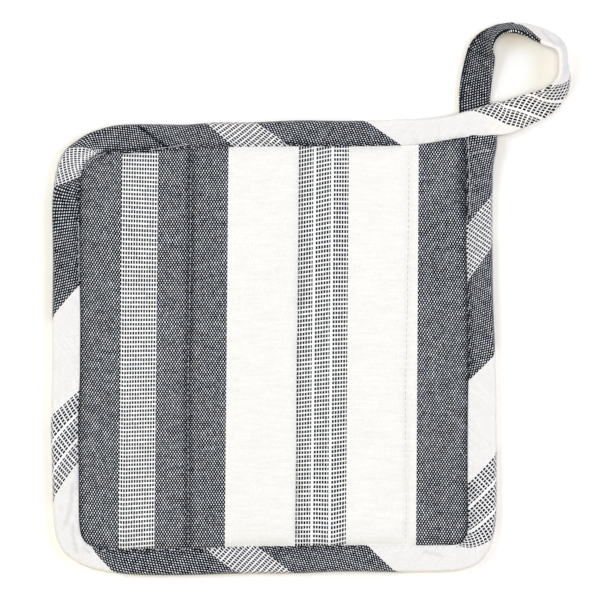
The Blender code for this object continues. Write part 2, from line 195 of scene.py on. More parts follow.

# Creases in the strip's front, each a line of points, with its rise, half width and painted
# shade; a negative shade makes the white dots wider instead
CREASES = (
    (((-90.8, -62.1), (-91.2, -67.5), (-92.1, -73.4), (-94.4, -80.2)), -0.6, 0.9, 1.0),
    (((-90.8, -80.2), (-90.8, -84.7), (-89.4, -91.9)), -0.6, 0.8, 1.0),
    (((-85.8, -90.5), (-83.1, -92.8)), -0.5, 0.8, 0.8),
    (((68.2, -92.4), (72.3, -93.3), (75.4, -94.2)), -0.5, 0.8, 0.9),
    (((-62.0, 100.4), (-56.0, 96.3), (-51.5, 92.7), (-47.6, 90.3)), -0.7, 0.5, 2.4),
    (((-63.4, 98.6), (-57.6, 94.9), (-53.4, 91.4)), 0.4, 0.8, 0.0),
    (((-87.2, 78.6), (-85.8, 82.0), (-82.9, 85.2), (-78.8, 87.4), (-74.6, 88.2)), -0.6, 0.7, 2.2),
    (((-88.9, 81.0), (-87.0, 84.6), (-83.6, 87.3), (-78.0, 88.9)), 0.7, 1.0, -3.0),
    (((-79.0, 89.7), (-70.0, 89.3), (-60.0, 89.6), (-52.0, 91.0)), -0.45, 0.6, 0.8),
    (((121.0, 143.4), (124.6, 139.4), (126.9, 136.6), (127.4, 132.0)), -0.8, 0.8, 1.5),
    (((129.3, 141.6), (130.0, 136.8)), -0.5, 0.8, 0.8),
    (((133.5, 127.6), (131.3, 124.6)), -0.5, 0.8, 1.0),
    (((86.5, 141.0), (91.0, 137.5), (95.0, 135.5)), -0.5, 0.8, 0.6),
    (((86.0, 135.0), (91.5, 133.0), (97.0, 131.5)), -0.45, 0.8, 0.6),
    (((89.0, 144.0), (93.5, 140.0), (98.5, 137.5)), -0.45, 0.8, 0.6),
    (((4.0, 92.4), (11.7, 91.9), (18.0, 91.2)), -0.4, 0.5, 1.6),
    (((84.5, 88.4), (85.4, 84.3), (86.7, 81.6), (87.6, 77.5)), -0.45, 0.7, 0.8),
    (((-91.6, -36.5), (-90.6, -42.0), (-90.9, -48.0)), -0.5, 0.8, 0.9),
    (((89.8, -64.0), (91.2, -70.0), (89.6, -77.0)), -0.45, 0.8, 0.7),
)

# Stitches that lie proud of the cloth, each a line of points
PROUD_STITCHES = (
    ((-88.25, 56.7), (-88.1, 43.0), (-88.05, 29.6)),
    ((87.6, 94.6), (88.3, 77.0), (88.5, 59.8)),
    ((-78.6, -91.8), (-75.9, -91.8)),
    ((-75.0, -91.1), (-71.8, -91.1)),
    ((-53.7, -91.1), (-49.2, -91.1)),
    ((-47.9, -91.4), (-44.7, -91.4)),
    ((-42.4, -91.1), (-40.2, -91.1)),
    ((89.0, 87.4), (93.0, 88.3), (98.0, 89.2)),
    ((-56.0, 89.2), (-47.0, 90.5), (-37.9, 91.9)),
    ((-85.6, 80.4), (-84.6, 83.0), (-82.2, 85.1), (-79.3, 86.6), (-75.9, 87.9)),
)


def smooth(share):
    """Ease from 0 to 1 while share runs from 0 to 1."""
    share = np.clip(share, 0.0, 1.0)
    return share * share * (3.0 - 2.0 * share)


def bell(distance, width):
    """1 at no distance, and falling away over about the width."""
    return np.exp(-(distance / width) ** 2)


def spline(rows, steps):
    """Catmull-Rom samples through the rows, that many from each row to the next."""
    rows = np.array(rows, float)
    padded = np.vstack([2.0 * rows[0] - rows[1], rows, 2.0 * rows[-1] - rows[-2]])
    place = np.linspace(0.0, len(rows) - 1.0, (len(rows) - 1) * steps + 1)
    index = np.minimum(place.astype(int), len(rows) - 2)
    t = (place - index)[:, None]
    p, q, r, s = (padded[index + k] for k in range(4))
    return 0.5 * (2.0 * q + (r - p) * t + (2.0 * p - 5.0 * q + 4.0 * r - s) * t ** 2
                  + (3.0 * q - p - 3.0 * r + s) * t ** 3)


def lengths(points):
    """Running length along a row of points."""
    steps = np.linalg.norm(np.diff(points, axis=0), axis=1)
    return np.concatenate([[0.0], np.cumsum(steps)])


def points_at(where, along, line):
    """Points at some running lengths along a line in the plane."""
    return np.stack([np.interp(where, along, line[:, k]) for k in (0, 1)], -1)


def unit(vectors):
    """The vectors' directions."""
    return vectors / np.linalg.norm(vectors, axis=-1, keepdims=True)


def segment_distance(points, start, end):
    """Distance in the plane from each point to one straight segment."""
    start, end = np.array(start), np.array(end)
    along = end - start
    share = np.clip((points - start) @ along / (along @ along), 0.0, 1.0)
    return np.linalg.norm(points - (start + share[..., None] * along), axis=-1)


def tuck_lift(points):
    """How far the tucked end of the loop raises the cloth, as in the frame."""
    away = segment_distance(points, *TUCK_LINE) - TUCK_REACH
    return TUCK_RISE * (1.0 - smooth(away / TUCK_SLOPE))


def ripple(points, size, seed):
    """Smooth noise from -1 to 1 at points in the plane, with bumps of about that size."""
    return np.array([noise.noise(Vector((x / size, y / size, seed * 7.31))) for x, y in points])


def add_object(name, data):
    """A new object in the scene."""
    body = bpy.data.objects.new(name, data)
    bpy.context.scene.collection.objects.link(body)
    return body


def new_piece(name, verts, faces, material):
    """A smooth mesh that rides on the part and stays clear of the floor."""
    mesh = bpy.data.meshes.new(name)
    verts[:, 2] = np.maximum(verts[:, 2], CLEAR)
    mesh.from_pydata((verts * MM).tolist(), [], faces)
    mesh.materials.append(material)
    mesh.shade_smooth()
    body = add_object(name, mesh)
    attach(body, "root")
    return body


def new_cloth(name, verts, faces, layers, material):
    """A piece of cloth, with two numbers at each point in every named layer."""
    body = new_piece(name, verts, faces.tolist(), material)
    mesh = body.data
    corner = np.empty(len(mesh.loops), np.int32)
    mesh.loops.foreach_get("vertex_index", corner)
    for layer, values in layers.items():
        data = mesh.uv_layers.new(name=layer).data
        data.foreach_set("uv", values[corner].astype(np.float32).ravel())
    mesh.validate()
    return body


def grid_faces(number, flip=False):
    """Quads of a grid of points, from the rows of their numbers."""
    quads = np.stack([number[:-1, :-1], number[:-1, 1:], number[1:, 1:], number[1:, :-1]], -1)
    quads = quads.reshape(-1, 4)
    return quads[:, ::-1] if flip else quads


def tube_faces(count, around):
    """Quads that join that many rings of points, which are stored ring by ring."""
    number = np.arange(count * around).reshape(count, around)
    following = np.roll(number, -1, axis=1)
    return np.stack([number[:-1], following[:-1], following[1:], number[1:]], -1).reshape(-1, 4)


# Cloth material

def fill(node, **inputs):
    """Set a node's inputs to numbers or colours, or link them to sockets."""
    for name, value in inputs.items():
        socket = node.inputs[name.replace("_", " ")]
        if isinstance(value, bpy.types.NodeSocket):
            node.id_data.links.new(value, socket)
        else:
            socket.default_value = value
    return node


def new_node(tree, kind, **inputs):
    """A new shader node with its inputs filled."""
    return fill(tree.nodes.new("ShaderNode" + kind), **inputs)


class Value:
    """A number in a shader, so that its formulas read as on paper."""

    def __init__(self, tree, socket):
        self.tree = tree
        self.socket = socket

    def make(self, kind, *others):
        """The number after one step of arithmetic."""
        node = new_node(self.tree, "Math")
        node.operation = kind
        for slot, value in enumerate((self,) + others):
            if isinstance(value, Value):
                self.tree.links.new(value.socket, node.inputs[slot])
            else:
                node.inputs[slot].default_value = value
        return Value(self.tree, node.outputs[0])

    __add__ = partialmethod(make, "ADD")
    __sub__ = partialmethod(make, "SUBTRACT")
    __mul__ = partialmethod(make, "MULTIPLY")
    __truediv__ = partialmethod(make, "DIVIDE")
    power = partialmethod(make, "POWER")
    most = partialmethod(make, "MINIMUM")
    least = partialmethod(make, "MAXIMUM")
    above = partialmethod(make, "GREATER_THAN")
    below = partialmethod(make, "LESS_THAN")
    floor = partialmethod(make, "FLOOR")
    part = partialmethod(make, "FRACT")

    def within(self, limits):
        """1 between the two limits, else 0."""
        return self.above(limits[0]) * self.below(limits[1])

    def folded(self, length):
        """What is left of the number past its last whole length."""
        return (self * (1.0 / length)).part() * length

    def even(self):
        """1 where a whole number is even, else 0."""
        return (self * 0.5).part().below(0.25)

    def cosine(self):
        """1 at 0, and 0 at -0.5 and 0.5."""
        return (self * math.pi).make("COSINE")

    def dome(self, fullness):
        """Height of a round thread at -0.5 to 0.5 across it."""
        return (self * self * (-4.0 * fullness) + 1.0).least(0.0).make("SQRT")

    def between(self, low, high):
        """Ease from 0 to 1 as the number goes from low to high."""
        node = new_node(self.tree, "MapRange", Value=self.socket, From_Min=low, From_Max=high)
        node.interpolation_type = "SMOOTHSTEP"
        return Value(self.tree, node.outputs["Result"])


def mixed(share, low, high, blend="MIX"):
    """A colour from low to high by share. Each is a colour or a socket."""
    node = new_node(share.tree, "Mix", Factor=share.socket)
    node.data_type = "RGBA"
    node.blend_type = blend
    sockets = [socket for socket in node.inputs if socket.type == "RGBA"]
    for socket, value in zip(sockets, (low, high)):
        if isinstance(value, tuple):
            socket.default_value = (*value, 1.0)
        else:
            share.tree.links.new(value, socket)
    return [socket for socket in node.outputs if socket.type == "RGBA"][0]


def tinted(share, colour, tint):
    """A colour tinted by share."""
    return mixed(share, colour, tint, "MULTIPLY")


def noise_at(x, y, detail, seed):
    """A noise value from 0 to 1 at two shader numbers."""
    place = new_node(x.tree, "CombineXYZ", X=x.socket, Y=y.socket, Z=seed)
    node = new_node(x.tree, "TexNoise", Vector=place.outputs[0], Scale=1.0, Detail=detail)
    return Value(x.tree, node.outputs["Fac"])


def layer_values(tree, layer):
    """The two numbers of one layer of a piece of cloth."""
    uv = new_node(tree, "UVMap")
    uv.uv_map = layer
    split = new_node(tree, "SeparateXYZ", Vector=uv.outputs["UV"])
    return Value(tree, split.outputs["X"]), Value(tree, split.outputs["Y"])


def add_relief(shader, height, strength, distance):
    """Relief from a height, by that distance in metres for a height of 1."""
    bump = new_node(height.tree, "Bump", Strength=strength, Distance=distance,
                    Height=height.socket)
    fill(shader, Normal=bump.outputs["Normal"])


def new_material(name, **inputs):
    """A material, and its surface shader with its inputs filled."""
    material = bpy.data.materials.new(name)
    material.use_nodes = True
    return material, fill(material.node_tree.nodes["Principled BSDF"], **inputs)


def cloth_counts(tree, joined):
    """Warp ends and weft picks. A joined strip has other ones past its join seam."""
    ends, picks = layer_values(tree, "cloth")
    if joined:
        ends_past, picks_past = layer_values(tree, "cloth_past")
        beyond, _ = layer_values(tree, "beyond")
        past = beyond.above(0.0)
        ends = ends + past * (ends_past - ends)
        picks = picks + past * (picks_past - picks)
    return ends, picks


def striped(ends):
    """The ends counted in their stripe; and which of them are plain dark, dashed or dark."""
    place = ends.folded(REPEAT)
    in_triple = place.within(TRIPLE)
    in_group = (place - TRIPLE[0]).folded(GROUP)
    count = place + in_triple * (in_group + TRIPLE[0] - place)

    # In the dashed stripes, the dark end of each pair is stout and the white one thin
    in_dashes = place.within(DASHED) + in_triple
    pair = count.folded(2.0)
    size = in_triple * (STOUT_TRIPLE - STOUT) + STOUT
    stout = (pair / size).most(1.0)
    thin = (pair - size).least(0.0) / (size * -1.0 + 2.0)
    count = count + in_dashes * (stout + thin - pair)

    alternate = count.floor().even()
    plain_dark = place.within(DARK_A) + place.within(DARK_B)
    dashed = place.within(DASHED) * alternate
    triple = in_triple * in_group.below(GROUP_WIDE) * alternate
    return count, plain_dark, in_dashes, plain_dark + dashed + triple


def weft_dots(x, y, in_dashes, dot, size, taller):
    """Where the weft hides the warp: a dot in the dark stripes, a bar in the dashed ones."""
    wide = in_dashes * (BAR_HALF - dot[0]) + dot[0] + size
    tall = in_dashes * (dot[2] - dot[1]) + dot[1] + size + taller
    from_side, from_end = (x / wide).power(2.0), (y / tall).power(2.0)
    return (from_side * from_side + from_end * from_end).between(1.2, 0.8)


def thread_height(x, y, over):
    """Height of the upper thread, where over is 1 for the warp and -1 for the weft."""
    warp = over * y.cosine() * 0.9 + x.dome(0.6)
    weft = over * x.cosine() * -0.42 + y.dome(0.9) * 0.86
    return warp.least(weft)


def striped_cotton(name, white, dark, dot, relief, joined=False):
    """Plain-woven cotton with yarn-dyed stripes, drawn thread by thread.

    dot holds half the width and half the height of the white dots in the dark
    stripes, and half the height of the white bars in the dashed ones.
    """
    material, shader = new_material(name, Roughness=0.92, Specular_IOR_Level=0.06,
                                    Sheen_Weight=0.1, Sheen_Roughness=0.4)
    tree = material.node_tree
    ends, picks = cloth_counts(tree, joined)
    shade, dot_shade = layer_values(tree, "shade")
    count, plain_dark, in_dashes, is_dark = striped(ends)
    end, pick = count.floor(), picks.floor()
    x, y = count - end - 0.5, picks - pick - 0.5
    over = (end + pick).even() * 2.0 - 1.0

    # Uneven yarns, along the warp, along the weft and from thread to thread
    warp_yarn = noise_at(end * 7.3, picks * 0.08, 2.0, 3.1) - 0.5
    weft_yarn = noise_at(pick * 7.3, ends * 0.06, 2.0, 5.7) - 0.5
    fleck = noise_at(end * 3.7, pick * 2.9, 1.0, 8.4) - 0.5
    # Painted shade also shrinks the white dots, so that more of the dark warp shows
    dots = weft_dots(x, y, in_dashes, dot, fleck * UNEVEN - dot_shade * DOT_SHADE_SHRINK,
                     weft_yarn * UNEVEN_PICKS)
    dark_share = (warp_yarn * 1.2 + fleck * 0.9 + 0.38).least(0.0)
    white_share = (fleck + weft_yarn) * 1.3 + 0.5

    white_yarn = mixed(white_share, white[0], white[1])
    white_yarn = tinted(in_dashes, white_yarn, WHITE_IN_DASHES)
    white_yarn = tinted(plain_dark, white_yarn, WHITE_IN_DARK)
    warp_colour = mixed(is_dark, white_yarn, mixed(dark_share, dark[0], dark[1]))
    colour = mixed(dots * over.below(0.0), warp_colour, white_yarn)

    # Painted shade in the gaps between the threads, in the creases and along the seams, and
    # painted light on the strip's fold and the loop's bend
    height = thread_height(x, y, over)
    gap_shade = height.between(0.75, 0.1) * 0.8 + y.cosine().between(0.6, 0.1) * 0.3
    colour = tinted(gap_shade.most(1.0), colour, SHADE_IN_GAPS)
    colour = tinted(shade * (1.0 / DEEPEST), colour, PAINTED_SHADE_TINT)
    colour = tinted(shade * -1.0, colour, PAINTED_LIGHT_TINT)
    fill(shader, Base_Color=colour)
    add_relief(shader, height, relief, CLOTH_RELIEF)
    return material


def cotton_thread(name, colour):
    """Sewing thread with its ply showing as fine slanting lines, darkened by painted shade in the
    grooves between them.
    """
    material, shader = new_material(name, Base_Color=(*colour, 1.0), Roughness=0.8,
                                    Specular_IOR_Level=0.2)
    tree = material.node_tree
    place = new_node(tree, "TexCoord").outputs["Object"]
    wave = new_node(tree, "TexWave", Vector=place, Scale=900.0, Distortion=0.6)
    wave.bands_direction = "DIAGONAL"
    ply = Value(tree, wave.outputs["Fac"])
    ply_shade = tuple(0.72 * part for part in colour)
    # Painted shade in the grooves between the plies
    fill(shader, Base_Color=mixed(ply, ply_shade, colour))
    add_relief(shader, ply, 0.4, THREAD_RELIEF)
    return material


# Pad

PAD_INSET = 2.2       # from the binding's fold to the pad's own edge
# The pad's outline at its top right corner, and the corners of its mesh
PAD_CORNER = ((81.5, 103.3), (88.0, 104.3), (94.0, 103.0), (97.2, 99.0))
PAD_CORNERS = ((96.0, 101.5), (93.0, -95.0), (-93.0, -94.0), (-92.0, 88.0))
PAD_CELLS = 200       # cells of the pad's mesh, across and up
PRESSED = (1.1, 3.7)  # heights of its back and front inside the binding
CROWN = 6.6           # height of its front away from the binding and the seams
SHOULDER = 3.0        # how far in from the binding it takes to rise
SHADE_BESIDE_BINDING = ((84.9, 95.0), (85.3, 60.0))  # where a band of painted shade darkens the front beside the binding


def binding_lines():
    """The binding's fold and its stitched edge as rows of points."""
    table = np.array(BINDING)
    return table[:, :2], table[:, 2:]


def inner_edge():
    """The binding's stitched edge as a line, from below the top right corner round to it."""
    return spline(binding_lines()[1][1:], 6)


def pad_outline():
    """The pad's own outline as a closed line, inside the binding."""
    fold, edge = binding_lines()
    rows = (fold + unit(edge - fold) * PAD_INSET)[1:-2]
    return spline(np.vstack([rows, PAD_CORNER, rows[:1]]), 6)


def ends_at(points):
    """Warp ends across the pad's front at points in the plane."""
    share = (points[:, 1] - PANEL_LOW) / (PANEL_TOP - PANEL_LOW)
    top, low, ends = np.array(PANEL_STRIPES).T
    edges = low + (top - low) * share[:, None]
    return np.array([np.interp(x, row, ends) for x, row in zip(points[:, 0], edges)])


def weft_rise(points):
    """How much higher the weft lies at points in the plane than where it is counted."""
    lines = np.array(WEFT_LINES)
    table = np.array(WEFT_SLOPES)[::-1]
    heights, slopes = table[:, 0], table[:, 1:]
    steps = np.cumsum(slopes * np.diff(lines), axis=1)
    rises = np.concatenate([np.zeros((len(table), 1)), steps], axis=1)
    rises -= rises[:, LEVEL_LINE:LEVEL_LINE + 1]
    by_line = np.array([np.interp(points[:, 1], heights, column) for column in rises.T]).T
    return np.array([np.interp(x, lines, row) for x, row in zip(points[:, 0], by_line)])


def picks_at(points):
    """Weft picks up the pad's front at points in the plane."""
    table = np.array(WEFT_PITCH)[::-1]
    heights = np.linspace(-PANEL_REACH, PANEL_REACH, 441)
    density = 1.0 / np.interp(heights, table[:, 0], table[:, 1])
    steps = 0.5 * (density[1:] + density[:-1]) * np.diff(heights)
    counts = np.concatenate([[0.0], np.cumsum(steps)])
    return np.interp(points[:, 1] - weft_rise(points), heights, counts)


def distance_inside(points, outline):
    """Distance from each point to an outline, positive inside it."""
    found = np.full(len(points), np.inf)
    inside = np.zeros(len(points), bool)
    x, y = points.T
    for start, end in zip(outline, np.roll(outline, -1, axis=0)):
        found = np.minimum(found, segment_distance(points, start, end))
        if start[1] != end[1]:
            at = start[0] + (y - start[1]) * (end[0] - start[0]) / (end[1] - start[1])
            inside ^= ((start[1] > y) != (end[1] > y)) & (x < at)
    return np.where(inside, found, -found)


def seam_lean(heights):
    """How far to the right the quilting seams lie at heights up the pad."""
    bow, middle, reach = BOW
    return heights * LEAN - bow * bell(heights - middle, reach)


def pad_faces(points):
    """The pad's back and front at points in the plane, with its painted shade there: in its
    colour, and in how far its white dots shrink.
    """
    inward = np.maximum(distance_inside(points, inner_edge()) - 0.2, 0.0)
    shift = seam_lean(points[:, 1])
    seam = np.min([np.abs(points[:, 0] - x - shift) for x in SEAMS], axis=0)
    held = smooth(inward / 4.0)
    furrow = 1.5 * np.exp(-seam / 1.6) + 0.5 * bell(seam, 0.5)
    swell = 0.12 * ripple(points, 26.0, 1.0) + 0.05 * ripple(points, 9.0, 2.0)
    front = PRESSED[1] + (CROWN - PRESSED[1]) * (1.0 - np.exp(-inward / SHOULDER))
    front += held * (swell - furrow)
    back = PRESSED[0] * (1.0 - smooth(inward / 2.2)) + 0.7 * held * np.exp(-seam / 1.6)
    lift = tuck_lift(points)

    # Painted shade: in the colour along the seams, and by shrinking the white dots beside the
    # seams, along the binding's left and right edges and in a band beside its right side
    shade = 0.3 * bell(seam, 0.85) * held
    beside = smooth((np.abs(points[:, 0]) - 70.0) / 12.0)
    dot_shade = 1.15 * bell(seam, 1.9) + 1.5 * beside * np.exp(-inward)
    dot_shade += 0.8 * bell(segment_distance(points, *SHADE_BESIDE_BINDING), 2.2)
    return back + lift, front + lift, np.column_stack([shade, dot_shade])


def pad_grid():
    """Points of the pad in rows and columns, bent to fit its outline."""
    outline = pad_outline()
    along = lengths(outline)
    corners = [np.argmin(np.linalg.norm(outline[:-1] - corner, axis=1))
               for corner in PAD_CORNERS]

    def side(first, last):
        """Even points along the outline from one corner to the next."""
        begin, finish = along[first], along[last]
        if finish <= begin:
            finish += along[-1]
        return points_at(np.linspace(begin, finish, PAD_CELLS + 1) % along[-1], along, outline)

    right, low, left, top = (side(*pair) for pair in zip(corners, corners[1:] + corners[:1]))
    right, low = right[::-1], low[::-1]
    u = np.linspace(0.0, 1.0, PAD_CELLS + 1)[None, :, None]
    v = u.reshape(-1, 1, 1)
    plane = (1 - v) * low[None] + v * top[None] + (1 - u) * left[:, None] + u * right[:, None]
    plane -= (1 - u) * (1 - v) * low[0] + u * (1 - v) * low[-1]
    plane -= (1 - u) * v * top[0] + u * v * top[-1]
    return plane


def make_pad(material):
    """The quilted pad: front and back cloth over its filling, as one closed piece."""
    plane = pad_grid()
    points = plane.reshape(-1, 2)
    back, front, shade = pad_faces(points)
    cloth = np.stack([ends_at(points), picks_at(points)], -1)
    verts = np.vstack([np.column_stack([points, height]) for height in (front, back)])
    number = np.arange(len(points)).reshape(plane.shape[:2])
    under = number + len(points)
    rim = np.concatenate([number[0, :-1], number[:-1, -1], number[-1, :0:-1], number[:0:-1, 0]])
    rim_under = rim + len(points)
    edge = np.stack([rim, rim_under, np.roll(rim_under, -1), np.roll(rim, -1)], -1)
    faces = np.vstack([grid_faces(number), grid_faces(under, flip=True), edge])
    layers = {"cloth": np.vstack([cloth, cloth]), "shade": np.vstack([shade, shade])}
    body = new_cloth("pad_quilted", verts, faces, layers, material)
    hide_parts("pad")
    return body


# Binding and loop, one strip

CLOTH = 0.42          # thickness of the cloth
SPACING = 0.6         # from one layer of the folded strip to the next
CAVITY = 2.5          # room between its inner layers, for the pad's pressed edge
PRESSED_START = (1.0, 1.05, 0.47)  # its start under its end: rise, cavity and spacing
CLOSING = 3.0         # rows of the loop that its cavity takes to close
LIT_LOOP_BEND = (-125.0, -112.0, -56.0, -46.0)  # where the painted light on the loop's bend comes and goes, from the strip's end
LOOP_BACK = -75.0     # where its way back to the corner begins
STEP = 0.85           # distance from one section of the strip to the next
SEARCH = 80.0         # how far ahead the next stripe's edge may lie
SMOOTHING = 15        # sections over which the direction of the warp is evened out
LOWEST = -0.75        # how far the creases and puckers may sink the front
# Rows of a section's front, from the stitched edge to the fold, in shares of the width
FACE_SHARES = (0.94, 0.89, 0.845, 0.8, 0.75, 0.7, 0.645, 0.59, 0.535, 0.48, 0.425, 0.37,
               0.315, 0.26, 0.205, 0.15, 0.09)
FACE_ROW = 7          # rows of a section before its front
FOLD_ANGLES = (62.0, 38.0, 16.0, -8.0, -34.0, -62.0)
TURN_ANGLES = (-55.0, 0.0, 55.0)


def binding_rows():
    """The binding's rows for the strip, with the columns that strip_stations names."""
    fold, edge = binding_lines()
    across = fold - edge
    none = np.zeros(len(fold))
    rows = np.column_stack([edge, tuck_lift(0.5 * (fold + edge)), unit(across), none,
                            np.linalg.norm(across, axis=1), none + CAVITY, none + SPACING])
    rows[0, 2] += PRESSED_START[0]
    rows[0, 7:] = PRESSED_START[1:]
    return rows


def loop_rows():
    """The loop's rows for the strip, in the same form. Its cavity closes off the pad."""
    table = np.array(LOOP)
    tangent = unit(np.gradient(table[:, :2], axis=0))
    number = np.arange(len(table))
    cavity = CAVITY * (1.0 - np.minimum(number / CLOSING, 1.0))
    return np.column_stack([table[:, :3], -tangent[:, 1], tangent[:, 0], table[:, 3:], cavity,
                            np.full(len(table), SPACING)])


def strip_stations():
    """The strip's sections at even steps along it.

    foot is the lowest point of a section's stitched edge. wide points from there to
    the fold and deep through the layers.
    """
    # Columns: foot x, y and z, direction across x and y, roll, width, cavity, spacing
    dense = spline(np.vstack([binding_rows(), loop_rows()]), 60)
    middle = dense[:, :2] + dense[:, 3:5] * dense[:, 6:7] * 0.5
    along = lengths(middle)
    where = np.linspace(0.0, along[-1], int(round(along[-1] / STEP)) + 1)
    table = np.stack([np.interp(where, along, column) for column in dense.T], -1)
    roll = np.radians(np.maximum(table[:, 5], 0.0))[:, None]
    across = np.column_stack([unit(table[:, 3:5]), np.zeros(len(table))])
    up = np.array((0.0, 0.0, 1.0))
    cavity = np.maximum(table[:, 7], 0.0)
    spacing = table[:, 8]
    thick = cavity + 3.0 * spacing + CLOTH
    foot = np.column_stack([table[:, :2], np.maximum(table[:, 2], 0.0)])
    return {"along": where,
            "foot": foot + across * (thick[:, None] * np.sin(roll)),
            "wide": across * np.cos(roll) + up * np.sin(roll),
            "deep": up * np.cos(roll) - across * np.sin(roll),
            "width": table[:, 6], "cavity": cavity, "spacing": spacing}


def strip_profile(width, cavity, spacing):
    """A section's middle line as rows of turn, distance and height.

    Turn is the way through the cloth from the fold, distance is straight from the
    fold, and height is above the lowest point.
    """
    low = 0.5 * CLOTH
    inside_low = low + spacing
    inside_high = inside_low + spacing + cavity
    high = inside_high + spacing
    puff = 0.16 + 0.12 * cavity

    def turned(angle, base):
        """A place on a turned-in edge, whose lower layer is at base."""
        turn = 0.5 * spacing
        return width - turn + turn * math.cos(angle) * 0.9, base + turn + turn * math.sin(angle)

    # The front's turned-in edge, and its turn at the stitches
    rows = [(2.0 * width - share * width, share * width, inside_high)
            for share in (0.3, 0.55, 0.8)]
    rows.append((width + 0.75, width - 0.55, inside_high + 0.02))
    rows += [(width - 0.3 * math.sin(angle), *turned(angle, inside_high))
             for angle in np.radians(TURN_ANGLES)]

    # The front, with a dip for the topstitching
    for share in FACE_SHARES:
        crown = puff * math.sin(math.pi * min(share * 1.02, 1.0)) ** 0.6
        rows.append((share * width, share * width, high + crown - 0.16 * bell(share - 0.9, 0.04)))

    # The fold
    reach = 0.5 * (high - low)
    bulge = min(reach, 0.85)
    for angle in FOLD_ANGLES:
        a = math.radians(angle)
        rise = math.copysign(abs(math.sin(a)) ** 0.8, a)
        rows.append((-0.2 - (62.0 - angle) / 62.0 * reach * 0.75,
                     low + bulge * (1.0 - math.cos(a) ** 0.8), low + reach + reach * rise))

    # The back, its turn at the stitches and its turned-in edge
    back = -2.0 * reach
    rows += [(back - share * width, share * width, low) for share in (0.12, 0.3, 0.5, 0.7, 0.88)]
    rows += [(back - width, *turned(angle, low)) for angle in np.radians(TURN_ANGLES)]
    rows += [(back - 2.0 * width + share * width, share * width, inside_low)
             for share in (0.85, 0.6, 0.3)]
    return np.array(rows)


def stripes_along(stations, rows, edge, begin=0.0):
    """Warp ends along one edge of the strip at each section, and where its rows lie."""
    line, column = stations["foot"][:, :2], 3
    if edge == "outer":
        line, column = line + stations["wide"][:, :2] * stations["width"][:, None], 1
    along = stations["along"]
    places = []
    for row in rows:
        away = np.linalg.norm(line - row[column:column + 2], axis=1)
        away[(along < begin) | (along > begin + SEARCH)] = np.inf
        begin = along[np.argmin(away)]
        places.append(begin)
    ends = [row[0] for row in rows]
    first = (ends[1] - ends[0]) / (places[1] - places[0])
    last = (ends[-1] - ends[-2]) / (places[-1] - places[-2])
    found = np.interp(along, places, ends)
    found += first * np.minimum(along - places[0], 0.0)
    found += last * np.maximum(along - places[-1], 0.0)
    return found, places


def woven(stations, outer, inner):
    """Warp ends and weft picks at the fold, and their growth from the fold to the edge."""
    along, width = stations["along"], stations["width"]
    step = along[1]
    window = np.hanning(SMOOTHING) / np.hanning(SMOOTHING).sum()
    along_warp = np.gradient(0.5 * (outer + inner)) * END / step
    along_warp = np.convolve(np.pad(along_warp, SMOOTHING // 2, "edge"), window, "valid")
    across_warp = (inner - outer) * END / width
    bias = np.interp(along, *np.array(STRIP_BIAS).T)
    pitch = np.interp(along, *np.array(STRIP_PICK).T)
    lean = np.arctan2(across_warp, along_warp) + np.radians(180.0 - bias)
    picks = np.cumsum(np.cos(lean) / pitch) * step
    growth = np.sin(lean) * width / pitch
    return outer, inner - outer, picks - 0.5 * growth, growth


def strip_cloths(stations):
    """The cloth before and past the join seam, and where that meets the fold and the edge."""
    outer, outer_at = stripes_along(stations, STRIP_STRIPES, "outer")
    inner, inner_at = stripes_along(stations, STRIP_STRIPES, "inner")
    outer_past, _ = stripes_along(stations, JOINED_STRIPES, "outer", outer_at[-1] - 1.0)
    inner_past, _ = stripes_along(stations, JOINED_STRIPES, "inner", inner_at[-1] - 1.0)
    cloths = {"cloth": woven(stations, outer, inner),
              "cloth_past": woven(stations, outer_past, inner_past)}
    return cloths, (outer_at[-1], inner_at[-1])


def strip_rings(stations):
    """The strip's sections as closed rings of points, and the layers of their cloth."""
    cloths, join = strip_cloths(stations)
    rings, layers = [], {"cloth": [], "cloth_past": [], "beyond": []}
    for k, width in enumerate(stations["width"]):
        profile = strip_profile(width, stations["cavity"][k], stations["spacing"][k])
        turn, place = profile[:, 0], profile[:, 1:]
        normal = np.gradient(place, axis=0)
        normal = unit(np.column_stack([-normal[:, 1], normal[:, 0]])) * 0.5 * CLOTH
        ring = np.vstack([place + normal, (place - normal)[::-1]])
        rings.append(stations["foot"][k] + stations["wide"][k] * (width - ring[:, :1])
                     + stations["deep"][k] * ring[:, 1:])
        share = np.concatenate([turn, turn[::-1]]) / width
        for layer, (ends, ends_growth, picks, picks_growth) in cloths.items():
            layers[layer].append(np.column_stack([ends[k] + ends_growth[k] * share,
                                                  picks[k] + picks_growth[k] * share]))
        seam = join[0] + (join[1] - join[0]) * share
        layers["beyond"].append(np.column_stack([stations["along"][k] - seam, share]))
    return np.array(rings), {layer: np.vstack(values) for layer, values in layers.items()}


def creased(points):
    """How far the creases raise or sink the strip's front, and how much painted shade they put on
    it.
    """
    lift, shade = np.zeros(points.shape[:-1]), np.zeros(points.shape[:-1])
    for line, rise, half, depth in CREASES:
        away = np.min([segment_distance(points, start, end)
                       for start, end in zip(line, line[1:])], axis=0)
        near = bell(away, half)
        lift += rise * (near - 0.4 * bell(away, 2.4 * half))
        shade += depth * near
    return lift, shade


def puckers(along, share):
    """Small waves in the strip's front, strongest beside its stitched edge."""
    wide = ripple([(place, 0.0) for place in along], 7.0, 5.0)[:, None]
    fine = ripple([(place, 3.0) for place in along], 3.1, 6.0)[:, None]
    near_edge = bell(share - 0.78, 0.16)
    return (1.1 * wide + 0.7 * fine) * near_edge + 0.3 * wide * (1.0 - near_edge)


def on_both_sides(values, around):
    """A ring's values from those of its front's outer side. The inner side has the same."""
    ring = np.zeros(around)
    ring[FACE_ROW:FACE_ROW + len(values)] = values
    return np.maximum(ring, ring[::-1])


